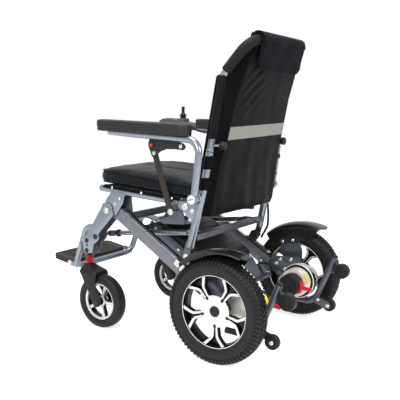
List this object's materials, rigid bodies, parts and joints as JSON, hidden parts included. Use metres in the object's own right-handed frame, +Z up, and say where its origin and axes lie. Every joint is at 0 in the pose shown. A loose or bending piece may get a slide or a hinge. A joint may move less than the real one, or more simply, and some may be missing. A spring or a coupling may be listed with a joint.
{
  "type": "power wheelchair",
  "caption": "Folding electric wheelchair with joystick control, padded seat, sprung front casters and rear drive wheels.",
  "frame": {"origin": "centre of the chair's outline on the floor", "axes": "-Y forward, +X to the user's left, +Z up"},
  "size_m": [0.629, 1.0051, 0.952],
  "materials": {
    "frame_grey": "satin metallic",
    "frame_dark": "satin",
    "black_steel": "satin",
    "bright_steel": "satin",
    "black_plastic": "satin",
    "gloss_plastic": "gloss",
    "armrest_foam": "matte",
    "rubber": "matte",
    "grey_rubber": "matte",
    "rim_alloy": "bright painted",
    "fabric": "matte woven",
    "pad_cloth": "matte woven",
    "spring_red": "gloss",
    "lever_red": "satin",
    "button_orange": "satin",
    "battery_case": "satin"
  },
  "bodies": {
    "seat": {"seat_frame": "frame_grey", "seat_sling": "fabric", "seat_cushion": "pad_cloth"},
    "chassis": {"main_beam_L": "frame_grey", "main_beam_R": "frame_grey", "battery_pack": "battery_case", "rear_cross_frame": "frame_dark", "motor_L": "bright_steel", "motor_R": "bright_steel", "fender_L": "gloss_plastic", "fender_R": "gloss_plastic", "anti_tip_arm_L": "frame_dark", "anti_tip_arm_R": "frame_dark"},
    "front": {"front_leg_L": "frame_grey", "front_leg_R": "frame_grey", "footrest_frame": "frame_grey"},
    "back": {"rear_frame": "frame_grey", "back_hoop": "frame_grey", "back_sling": "fabric", "head_pad": "pad_cloth", "frame_cable": "black_plastic"},
    "footplate": {"footplate": "grey_rubber"},
    "slider_L": {"slider_L": "black_steel"},
    "link_L": {"lower_link_L": "frame_grey"},
    "armrest_carrier_L": {"armrest_pivot_L": "bright_steel"},
    "armrest_L": {"armrest_tube_L": "frame_grey", "armrest_pad_L": "armrest_foam"},
    "strut_L": {"armrest_strut_L": "black_steel"},
    "drive_wheel_L": {"drive_tyre_L": "rubber", "drive_rim_L": "rim_alloy"},
    "anti_tip_wheel_L": {"anti_tip_wheel_L": "rubber"},
    "roller_L": {"transport_roller_L": "grey_rubber"},
    "lever_L": {"release_lever_L": "lever_red"},
    "swivel_L": {"caster_spring_L": "spring_red"},
    "fork_L": {"caster_fork_L": "black_plastic"},
    "caster_L": {"caster_tyre_L": "rubber", "caster_rim_L": "rim_alloy"},
    "button_L": {"release_button_L": "button_orange"},
    "knob_L": {"back_knob_L": "black_plastic"},
    "slider_R": {"slider_R": "black_steel"},
    "link_R": {"lower_link_R": "frame_grey"},
    "armrest_carrier_R": {"armrest_pivot_R": "bright_steel"},
    "armrest_R": {"armrest_tube_R": "frame_grey", "armrest_pad_R": "armrest_foam", "controller_housing": "black_plastic", "controller_cable": "black_plastic"},
    "strut_R": {"armrest_strut_R": "black_steel"},
    "drive_wheel_R": {"drive_tyre_R": "rubber", "drive_rim_R": "rim_alloy"},
    "anti_tip_wheel_R": {"anti_tip_wheel_R": "rubber"},
    "roller_R": {"transport_roller_R": "grey_rubber"},
    "lever_R": {"release_lever_R": "lever_red"},
    "swivel_R": {"caster_spring_R": "spring_red"},
    "fork_R": {"caster_fork_R": "black_plastic"},
    "caster_R": {"caster_tyre_R": "rubber", "caster_rim_R": "rim_alloy"},
    "button_R": {"release_button_R": "button_orange"},
    "knob_R": {"back_knob_R": "black_plastic"},
    "boot": {"joystick_boot": "rubber"},
    "stick": {"joystick": "black_plastic"}
  },
  "joints": [
    {"name": "back_fold", "type": "hinge", "parent": "seat", "child": "back", "pos_m": [0, 0.141, 0.442], "axis": [-1, 0, 0], "range_deg": [-75, 0], "deforming": ["seat_cushion"]},
    {"name": "chassis_fold", "type": "hinge", "parent": "seat", "child": "chassis", "pos_m": [0, -0.165, 0.407], "axis": [-1, 0, 0], "range_deg": [-24.24, 0.3]},
    {"name": "front_fold", "type": "hinge", "parent": "seat", "child": "front", "pos_m": [0, -0.165, 0.407], "axis": [-1, 0, 0], "range_deg": [-61.55, 0.3]},
    {"name": "footplate_flip", "type": "hinge", "parent": "front", "child": "footplate", "pos_m": [0, -0.413, 0.188], "axis": [-1, 0, 0], "range_deg": [0, 90]},
    {"name": "slider_turn_L", "type": "hinge", "parent": "back", "child": "slider_L", "pos_m": [0.226, 0.145, 0.29], "axis": [-1, 0, 0], "range_deg": [-0.3, 51.56]},
    {"name": "link_turn_L", "type": "hinge", "parent": "front", "child": "link_L", "pos_m": [0.157, -0.215, 0.315], "axis": [-1, 0, 0], "range_deg": [-0.3, 52.53]},
    {"name": "armrest_level_L", "type": "hinge", "parent": "back", "child": "armrest_carrier_L", "pos_m": [0.235, 0.19, 0.469], "axis": [-1, 0, 0], "range_deg": [-0.3, 37.57]},
    {"name": "armrest_lift_L", "type": "hinge", "parent": "armrest_carrier_L", "child": "armrest_L", "pos_m": [0.256, 0.19, 0.469], "axis": [-1, 0, 0], "range_deg": [0, 90]},
    {"name": "strut_turn_L", "type": "hinge", "parent": "seat", "child": "strut_L", "pos_m": [0.238, 0.095, 0.423], "axis": [-1, 0, 0], "range_deg": [-45.54, 0.3]},
    {"name": "drive_spin_L", "type": "hinge", "parent": "chassis", "child": "drive_wheel_L", "pos_m": [0.28, 0.285, 0.157], "axis": [1, 0, 0], "continuous": true},
    {"name": "anti_tip_spin_L", "type": "hinge", "parent": "chassis", "child": "anti_tip_wheel_L", "pos_m": [0.215, 0.431, 0.0715], "axis": [1, 0, 0], "continuous": true},
    {"name": "roller_spin_L", "type": "hinge", "parent": "chassis", "child": "roller_L", "pos_m": [0.212, 0.477, 0.196], "axis": [1, 0, 0], "continuous": true},
    {"name": "lever_turn_L", "type": "hinge", "parent": "chassis", "child": "lever_L", "pos_m": [0.114, 0.332, 0.15], "axis": [1, 0, 0], "range_deg": [0, 45]},
    {"name": "caster_swivel_L", "type": "hinge", "parent": "front", "child": "swivel_L", "pos_m": [0.212, -0.264, 0.23], "axis": [0, 0, 1], "continuous": true},
    {"name": "caster_spring_travel_L", "type": "slide", "parent": "swivel_L", "child": "fork_L", "axis": [0, 0, 1], "range_m": [0, 0.008], "stiffness_N_per_m": 15000, "springref_m": -0.005, "deforming": ["caster_spring_L"]},
    {"name": "caster_spin_L", "type": "hinge", "parent": "fork_L", "child": "caster_L", "pos_m": [0.212, -0.2115, 0.092], "axis": [1, 0, 0], "continuous": true},
    {"name": "button_press_L", "type": "slide", "parent": "armrest_L", "child": "button_L", "axis": [-1, 0, 0], "range_m": [0, 0.0025], "stiffness_N_per_m": 400, "springref_m": -0.002},
    {"name": "knob_turn_L", "type": "hinge", "parent": "back", "child": "knob_L", "pos_m": [0.19995, 0.255, 0.625], "axis": [0, 1, 0], "continuous": true},
    {"name": "slider_turn_R", "type": "hinge", "parent": "back", "child": "slider_R", "pos_m": [-0.226, 0.145, 0.29], "axis": [-1, 0, 0], "range_deg": [-0.3, 51.56]},
    {"name": "link_turn_R", "type": "hinge", "parent": "front", "child": "link_R", "pos_m": [-0.157, -0.215, 0.315], "axis": [-1, 0, 0], "range_deg": [-0.3, 52.53]},
    {"name": "armrest_level_R", "type": "hinge", "parent": "back", "child": "armrest_carrier_R", "pos_m": [-0.235, 0.19, 0.469], "axis": [-1, 0, 0], "range_deg": [-0.3, 37.57]},
    {"name": "armrest_lift_R", "type": "hinge", "parent": "armrest_carrier_R", "child": "armrest_R", "pos_m": [-0.256, 0.19, 0.469], "axis": [-1, 0, 0], "range_deg": [0, 90]},
    {"name": "strut_turn_R", "type": "hinge", "parent": "seat", "child": "strut_R", "pos_m": [-0.238, 0.095, 0.423], "axis": [-1, 0, 0], "range_deg": [-45.54, 0.3]},
    {"name": "drive_spin_R", "type": "hinge", "parent": "chassis", "child": "drive_wheel_R", "pos_m": [-0.28, 0.285, 0.157], "axis": [1, 0, 0], "continuous": true},
    {"name": "anti_tip_spin_R", "type": "hinge", "parent": "chassis", "child": "anti_tip_wheel_R", "pos_m": [-0.215, 0.431, 0.0715], "axis": [1, 0, 0], "continuous": true},
    {"name": "roller_spin_R", "type": "hinge", "parent": "chassis", "child": "roller_R", "pos_m": [-0.212, 0.477, 0.196], "axis": [1, 0, 0], "continuous": true},
    {"name": "lever_turn_R", "type": "hinge", "parent": "chassis", "child": "lever_R", "pos_m": [-0.114, 0.332, 0.15], "axis": [1, 0, 0], "range_deg": [0, 45]},
    {"name": "caster_swivel_R", "type": "hinge", "parent": "front", "child": "swivel_R", "pos_m": [-0.212, -0.264, 0.23], "axis": [0, 0, 1], "continuous": true},
    {"name": "caster_spring_travel_R", "type": "slide", "parent": "swivel_R", "child": "fork_R", "axis": [0, 0, 1], "range_m": [0, 0.008], "stiffness_N_per_m": 15000, "springref_m": -0.005, "deforming": ["caster_spring_R"]},
    {"name": "caster_spin_R", "type": "hinge", "parent": "fork_R", "child": "caster_R", "pos_m": [-0.212, -0.2115, 0.092], "axis": [1, 0, 0], "continuous": true},
    {"name": "button_press_R", "type": "slide", "parent": "armrest_R", "child": "button_R", "axis": [1, 0, 0], "range_m": [0, 0.0025], "stiffness_N_per_m": 400, "springref_m": -0.002},
    {"name": "knob_turn_R", "type": "hinge", "parent": "back", "child": "knob_R", "pos_m": [-0.19995, 0.255, 0.625], "axis": [0, 1, 0], "continuous": true},
    {"name": "joystick_side", "type": "hinge", "parent": "armrest_R", "child": "boot", "pos_m": [-0.256, -0.195, 0.703], "axis": [0, 1, 0], "range_deg": [-18, 18], "stiffness_Nm_per_rad": 0.3, "deforming": ["joystick_boot"]},
    {"name": "joystick_fore_aft", "type": "hinge", "parent": "boot", "child": "stick", "pos_m": [-0.256, -0.195, 0.703], "axis": [1, 0, 0], "range_deg": [-18, 18], "stiffness_Nm_per_rad": 0.3, "deforming": ["joystick_boot"]}
  ],
  "couplings": [
    {"joint": "chassis_fold", "follows": "back_fold", "ratio": 0.3179},
    {"joint": "front_fold", "follows": "back_fold", "ratio": 0.8153},
    {"joint": "slider_turn_L", "follows": "back_fold", "ratio": -0.6821},
    {"joint": "link_turn_L", "follows": "back_fold", "ratio": -0.6951},
    {"joint": "armrest_level_L", "follows": "back_fold", "ratio": -0.4956},
    {"joint": "strut_turn_L", "follows": "back_fold", "ratio": 0.6019},
    {"joint": "slider_turn_R", "follows": "back_fold", "ratio": -0.6821},
    {"joint": "link_turn_R", "follows": "back_fold", "ratio": -0.6951},
    {"joint": "armrest_level_R", "follows": "back_fold", "ratio": -0.4956},
    {"joint": "strut_turn_R", "follows": "back_fold", "ratio": 0.6019}
  ]
}
